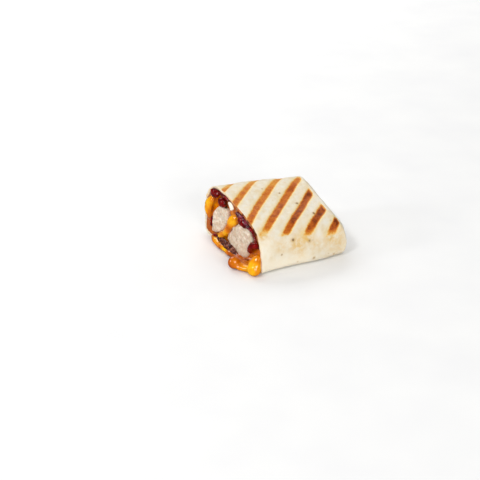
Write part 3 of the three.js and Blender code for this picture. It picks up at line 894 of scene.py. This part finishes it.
def roughened(shape, amount, size, seed):
    # a grid and its poles, moved along the normals by smooth noise
    grid, first, last = shape
    bumps = amount * ripple(grid, size, seed)
    return grid + normalsOf(grid) * bumps[..., None], first, last


def wetMaterial(name, shades, size, roughness, bumpDepth, bumpSize):
    # a glossy wet food: shades from dark to light by noise of size mm, with a fine bump
    material, tree, shader = newMaterial(name, 0.2, roughness)
    addCoat(shader, 0.5, 0.04)
    spread = [(0.34 + 0.32 * i / (len(shades) - 1), shade) for i, shade in enumerate(shades)]
    tree.links.new(colourRamp(tree, noise(tree, size, 3, 0.6), spread), shader.inputs["Base Color"])
    addBump(tree, shader, noise(tree, bumpSize, 3, 0.5), bumpDepth)
    return material


sauceMaterial = wetMaterial(
    "darkRedSauce",
    [(62, 1, 2), (108, 2, 3), (138, 6, 5)],
    size=3,
    roughness=0.1,
    bumpDepth=0.3,
    bumpSize=1.4,
)
# painted highlight: a near-white wet material for the drop that stands in for a reflection on the cheese
glintMaterial = wetMaterial(
    "paintedGlintDrop", [(246, 232, 206), (252, 246, 236)], size=4, roughness=0.1, bumpDepth=0.1, bumpSize=2
)
onionMaterial = wetMaterial(
    "purpleOnion",
    [(44, 4, 14), (88, 14, 32), (140, 60, 76)],
    size=2,
    roughness=0.16,
    bumpDepth=0.3,
    bumpSize=1,
)
stainedOnionMaterial = wetMaterial(
    "brownedOnion",
    [(38, 8, 6), (88, 34, 20), (156, 100, 78)],
    size=2.2,
    roughness=0.16,
    bumpDepth=0.5,
    bumpSize=0.9,
)

onions = {
    "onion_top": dict(
        points=[(-26.5, 27.2, -0.6), (-20, 31.2, 0.2), (-12.8, 33.2, 0.6), (-5.2, 34.6, 0)],
        widths=(1.1, 1.7, 1.8, 1.3),
        depths=(1.6, 2.2, 2.2, 1.6),
    ),
    "onion_bottom": dict(
        points=[(-14.4, 5, 4.6), (-7.4, 5.8, 4.6), (0.6, 6.8, 4.6), (8.4, 7.2, 4.2), (17.4, 6.4, 3.2)],
        widths=(1.7, 2.6, 2.7, 2.1, 1.4),
        depths=(1, 1.4, 1.4, 1.3, 1),
        tilt=math.radians(-35),
    ),
}
sauceStrands = {
    "sauce_top": dict(
        points=[(-19.8, 28.6, 1.2), (-16, 31, 2), (-11.6, 32.6, 1.6)],
        widths=(1.8, 2.6, 2.2),
        depths=(1.2, 2, 1.6),
    ),
    "sauce_front": dict(
        points=[(-34.6, 19.8, 0), (-28.6, 17.8, 1), (-24.4, 11.6, 1.4)],
        widths=(1.6, 3, 2.2),
        depths=(1.4, 2.2, 1.6),
    ),
}
sauceLumps = {
    "sauce_mid": dict(middle=(12.8, 35, 1), sizes=(4.6, 3.5, 2.8)),
    "sauce_back": dict(middle=(22.2, 39, 1.7), sizes=(4.6, 3.7, 2.8)),
}
# a near-white drop beside sauce_mid, a painted highlight that stands in for the lamp's reflection on the
# wet cheese, too slight for a solid
paintedGlintDrops = {
    "dropBack": dict(
        points=[(3.6, 38.9, 1.4), (-0.4, 37.6, 1.6), (-2.2, 35, 1.6)],
        widths=(0.9, 2.2, 2.8),
        depths=(0.6, 1.0, 1.1),
    ),
}
# thin smears of the dark sauce, too slight for solids: under the lip, beside the back chunk and below both;
# where they lie in crevices they also stand for the shade there, as painted shadow
sauceAndShadowLines = {
    "lipFront": dict(
        points=[(-22, 30.8, 0.4), (-26.6, 29, 0.5), (-30, 25.6, 0.6), (-33, 21.6, 0.4)],
        widths=(0.9, 1.1, 1.0, 0.8),
        depths=(0.8, 0.9, 0.9, 0.8),
    ),
    "lipBack": dict(
        points=[(21.5, 39.2, 0), (16, 40.4, 0.3), (8.6, 39.9, 0.3), (1.8, 39, 0)],
        widths=(1.0, 1.4, 0.9, 0.4),
        depths=(0.8, 1.0, 0.8, 0.4),
    ),
    "besideBack": dict(
        points=[(28.4, 18, 0.8), (28.8, 13, 1), (28.4, 9, 0.8)],
        widths=(0.8, 1.3, 1.0),
        depths=(0.8, 1, 0.8),
    ),
    # partly sauce, partly painted shadow: a dark line in the crevice under the front chunk
    "belowFront": dict(
        points=[(-11, 4.3, 2.6), (-16, 3.9, 3.2), (-21.4, 4.3, 3.4), (-26, 6, 2.4)],
        widths=(0.7, 0.9, 0.9, 0.6),
        depths=(0.7, 0.8, 0.8, 0.6),
    ),
    "belowBack": dict(
        points=[(23.6, 4.9, 2.2), (20, 5.8, 3), (16.2, 6.6, 3)],
        widths=(0.8, 1.5, 0.9),
        depths=(0.8, 1, 0.8),
    ),
}


# cheese sauce

cheese = dict(voxel=0.45, smoothing=24, unevenness=0.35)
filling = dict(
    middle=18.0,  # height of the middle of its face
    overlap=0.2,  # how far it reaches into the tortilla
    outLow=0.7,  # how far its face stands out of the cut, low down and high up
    outHigh=-1.9,
    billow=0.6,
    swirls=0.3,
    around=120,
    faceRows=40,
    bodyRows=24,
)
cheeseStrands = [
    dict(
        points=[(-34, 2.8, 3), (-22, 2.8, 3.6), (-10, 2.9, 4.2), (4, 3, 4.4), (16, 3, 4.2), (26, 3.4, 2.2)],
        widths=(2.2, 2.4, 2.6, 2.7, 2.6, 1.8),
        depths=(2.6, 3.2, 3.3, 3.4, 3, 1.8),
    ),
    dict(
        points=[(-34, 2.8, 4.6), (-29.5, 2.8, 8), (-24.6, 3.2, 11)],
        widths=(2.4, 2.5, 2.9),
        depths=(3.4, 3.6, 4),
    ),
    dict(
        points=[(-36.8, 13.6, 0.4), (-37, 10, 3), (-37.8, 6, 5)],
        widths=(2.4, 4.4, 5.2),
        depths=(1.8, 3.8, 4.8),
    ),
    dict(
        points=[(-31, 5.6, 0.6), (-15, 5.2, 1.2), (0, 5.6, 1.2), (14, 5.8, 1), (25, 6, 0)],
        widths=(1.7, 1.8, 1.8, 1.8, 1.6),
        depths=(1.6, 1.8, 1.8, 1.8, 1.4),
    ),
    dict(
        points=[(-5, 30, -1.2), (0, 24.5, 0.6), (3.2, 18.5, 1.2), (8, 12.4, 1.8), (15.4, 7.4, 2.6)],
        widths=(4.4, 4, 2.9, 2.5, 2.4),
        depths=(2.6, 2.8, 2.8, 2.8, 2.8),
    ),
    dict(
        points=[(27.5, 33, -0.4), (31.2, 28, 1), (33, 21, 0.8), (31.4, 13.5, -0.6)],
        widths=(2.4, 3.6, 3.2, 1.8),
        depths=(1.6, 2.4, 2.2, 1.4),
    ),
]
cheeseLumps = [
    dict(middle=(-20, 2.6, 7.6), sizes=(5.4, 2.3, 5)),
    dict(middle=(-23.6, 5.2, 12.2), sizes=(4.3, 4.8, 4.6)),
    dict(middle=(-38.2, 5, 5.2), sizes=(5.2, 4.9, 5.2)),
]
# where the sauce is painted yellower, partly its own fresher colour and partly painted light on lit faces:
# place on the cut (y, z, out), and half width in mm
yellowLitPlaces = [
    ((-37.4, 5.6, 8), 11),
    ((31.6, 28, 2), 7),
    ((34, 21, 2), 4.5),
    ((-1, 27, 1.5), 6.5),
    ((5.6, 15, 3), 5),
    ((13, 8.6, 5), 8),
    ((0, 3, 8), 5),
]


def fillingGrid():
    # the sauce that fills the roll: a billowing face set back under the top skin, and the inside's own form
    skin = tortilla["thickness"] - filling["overlap"]
    angles = evenAngles(filling["around"])
    last = 1 - (tortilla["tuckedTip"] + 0.9) / roll["length"]
    depth = tortilla["tuckedTip"] - 0.3
    edge = sectionPoint(0.0, angles, skin)
    scales = np.linspace(0.02, 1, filling["faceRows"])[:, None]
    y = edge[:, 1] * scales
    z = mix(filling["middle"], edge[:, 2], scales)
    out = mix(filling["outLow"], filling["outHigh"], ease(z, 6, 26))
    billow = filling["billow"] * np.sin(y / 5.5 + z / 9) * np.cos(z / 6 - y / 13)
    swirls = filling["swirls"] * ripple(np.stack([y, z], -1), 8, 17, stretch=(1, 1))
    face = settled(y, z, 0.0, out + (billow + swirls) * (1 - ease(scales, 0.85, 1)))
    along = np.linspace(0.03, last, filling["bodyRows"])[:, None]
    body = sectionPoint(along, angles[None, :], skin)
    tail = capPoint(last, angles[None, :], skin, np.array([0.45, 0.8])[:, None], depth)
    return np.concatenate([face, body, tail]), face[0].mean(axis=0), polePoint(last, depth)


def makeCheese():
    # all runs and the filling are fused by a voxel remesh, then smoothed so that they flow into each other
    shapes = [fillingGrid()]
    for number, strand in enumerate(cheeseStrands):
        shapes.append(roughened(strandGrid(**strand), cheese["unevenness"], 8, 91 + number))
    shapes += [lumpGrid(**lump) for lump in cheeseLumps]
    parts = [newObject("run", tubeMesh("run", *shape)) for shape in shapes]
    bpy.ops.object.select_all(action="DESELECT")
    for part in parts:
        part.select_set(True)
    bpy.context.view_layer.objects.active = parts[0]
    bpy.ops.object.join()
    joined = parts[0]
    remesh = joined.modifiers.new("fuse", "REMESH")
    remesh.mode = "VOXEL"
    remesh.voxel_size = cheese["voxel"] * mm
    remesh.use_smooth_shade = True
    soften = joined.modifiers.new("soften", "SMOOTH")
    soften.factor = 0.5
    soften.iterations = cheese["smoothing"]
    for modifier in ("fuse", "soften"):
        bpy.ops.object.modifier_apply(modifier=modifier)
    mesh = joined.data.copy()
    mesh.name = "cheeseSauce"
    places = np.empty(len(mesh.vertices) * 3)
    mesh.vertices.foreach_get("co", places)
    places[2::3] = np.maximum(places[2::3], 0)  # nothing sinks into the table
    mesh.vertices.foreach_set("co", places)
    spots = [(settled(y, z, 0.0, out), size, 1) for (y, z, out), size in yellowLitPlaces]
    # the attribute set here is yellower partly for the sauce's own fresher colour, partly as painted light
    # on lit faces
    yellowLit = bellsOver(places.reshape(-1, 3) / mm - cutMiddle, spots)
    mesh.attributes.new("yellowLit", "FLOAT", "POINT").data.foreach_set("value", yellowLit.astype(np.float32))
    bpy.data.objects.remove(joined)
    return mesh


def cheeseMaterial():
    # orange to yellow by a mesh attribute and noise, under a wet coat: the yellow is partly the sauce's own
    # fresher colour, partly painted light where faces are lit
    material, tree, shader = newMaterial("meltedCheese", specular=0.5, roughness=0.07)
    addCoat(shader, 0.5, 0.03)
    letLightIn(shader, 0.15, (2, 1.2, 0.3))
    drift = calc(tree, "SUBTRACT", noise(tree, 5, 3, 0.55), 0.5)
    shades = colourRamp(
        tree,
        calc(tree, "ADD", attribute(tree, "yellowLit"), drift),
        [
            (0.0, (180, 84, 1)),
            (0.3, (212, 112, 1)),
            (0.65, (240, 150, 6)),
            (0.95, (250, 184, 20)),
        ],
    )
    tree.links.new(shades, shader.inputs["Base Color"])
    addBump(tree, shader, noise(tree, 2.6, 2, 0.5), 0.2)
    return material


# build


def addRuns(runs, shapeOf, material, slot, seed, replacing=True, roughness=0.2):
    # one piece for each run of a dictionary of runs; its name goes from onion_top to onionTop
    for number, (node, run) in enumerate(runs.items()):
        words = node.split("_")
        name = words[0] + "".join(word.capitalize() for word in words[1:])
        shape = roughened(shapeOf(**run), roughness, 3, seed + number)
        addPiece(name, tubeMesh(name, *shape), material, slot, *([node] if replacing else []))


addPiece("tortillaWrap", makeTortilla(), tortillaMaterial(), "tortilla", "tortilla")
meat = chickenMaterial()
addPiece("chickenFront", makeChunk("chickenFront", chicken["front"], 21), meat, "chicken", "chicken_front")
addPiece("chickenBack", makeChunk("chickenBack", chicken["back"], 31), meat, "chicken", "chicken_back")
addPiece("cheeseSauce", makeCheese(), cheeseMaterial(), "cheese", "cheese_sauce")
addRuns({"onion_top": onions["onion_top"]}, strandGrid, onionMaterial, "onion", 41)
addRuns({"onion_bottom": onions["onion_bottom"]}, strandGrid, stainedOnionMaterial, "onion", 42)
addRuns(sauceStrands, strandGrid, sauceMaterial, "sauce", 51)
addRuns(sauceLumps, lumpGrid, sauceMaterial, "sauce", 61)
addRuns(sauceAndShadowLines, strandGrid, sauceMaterial, "sauce", 71, replacing=False)
addRuns(paintedGlintDrops, strandGrid, glintMaterial, "cheese", 81, replacing=False, roughness=0.06)
print("pieces done")


# the table, the light and the camera

shot = dict(
    azimuth=-22.4,
    elevation=27,
    distance=850,
    aim=np.array([12.32, 16.28, 0.0]),  # from the middle of the cut
    imageWidth=480,
    focalPixels=1144,
    sensor=36,
)


def dimming(tree):
    # how much darker the room is in reflections than to the eye, as behind black flags
    glossy = addNode(tree, "LightPath", {}).outputs["Is Glossy Ray"]
    return calc(tree, "MULTIPLY", glossy, 0.85)


def makeFloor():
    # a pale square table, large enough to fill each view
    half = 6
    mesh = bpy.data.meshes.new("table")
    corners = [(-half, -half, 0), (half, -half, 0), (half, half, 0), (-half, half, 0)]
    mesh.from_pydata(corners, [], [(0, 1, 2, 3)])
    material, tree, shader = newMaterial("paleTable", specular=0.2, roughness=0.7)
    pale = colourRamp(tree, noise(tree, 60, 2), [(0.3, (240, 240, 240)), (0.7, (244, 244, 243))])
    flagged = blendColours(tree, dimming(tree), pale, colour(0, 0, 0))
    tree.links.new(flagged, shader.inputs["Base Color"])
    mesh.materials.append(material)
    floor = newObject("table", mesh)


def aimAt(thing, spot, target):
    # puts a light or camera at spot, looking at target, both in frame metres
    thing.location = spot
    thing.rotation_euler = (Vector(target) - Vector(spot)).to_track_quat("-Z", "Y").to_euler()


def wayTo(azimuth, elevation):
    # unit vector towards azimuth degrees round from the front and elevation degrees up
    a, e = math.radians(azimuth), math.radians(elevation)
    return np.array([math.sin(a) * math.cos(e), -math.cos(a) * math.cos(e), math.sin(e)])


def addSoftbox(name, azimuth, elevation, distance, size, power, target=(0, 0, 0.02)):
    # a rectangular lamp at distance metres from its target
    light = bpy.data.lights.new(name, "AREA")
    light.shape = "RECTANGLE"
    light.size, light.size_y = size
    light.energy = power
    aimAt(newObject(name, light), np.array(target) + wayTo(azimuth, elevation) * distance, target)


def makeCamera():
    # looks down on the cut and the front wall, from a little to the cut's side
    data = bpy.data.cameras.new("camera")
    data.sensor_width = shot["sensor"]
    data.lens = shot["focalPixels"] / shot["imageWidth"] * shot["sensor"]
    camera = newObject("camera", data)
    target = (shot["aim"] + cutMiddle) * mm
    back = wayTo(shot["azimuth"], shot["elevation"])
    aimAt(camera, target + back * shot["distance"] * mm, target)
    bpy.context.scene.camera = camera


def makeWorld():
    # a white dome, brighter overhead than at the horizon, and dim in reflections
    world = bpy.data.worlds.new("studio")
    world.use_nodes = True
    tree = world.node_tree
    way = addNode(tree, "TexCoord", {}).outputs["Generated"]
    height = addNode(tree, "SeparateXYZ", dict(Vector=way)).outputs["Z"]
    dome = fade(tree, height, 0.0, 0.7, 0.38, 0.53)
    sky = tree.nodes["Background"]
    sky.inputs["Color"].default_value = (1, 1, 1, 1)
    flagged = calc(tree, "MULTIPLY", dome, calc(tree, "SUBTRACT", 1.0, dimming(tree)))
    tree.links.new(flagged, sky.inputs["Strength"])
    bpy.context.scene.world = world


makeFloor()
makeWorld()
addSoftbox("keySoftbox", -62, 48, 2.2, (0.3, 0.3), 11)
addSoftbox("fillSoftbox", 0, 22, 2.4, (1.2, 0.8), 21)
addSoftbox("cutSoftbox", -96, 20, 1.2, (0.2, 0.2), 2.6)
addSoftbox("backdropSoftbox", 180, 70, 1.1, (1.8, 0.7), 13, target=(0, 0.85, 0))
makeCamera()
bpy.context.scene.view_settings.view_transform = "Standard"
print("stage done")
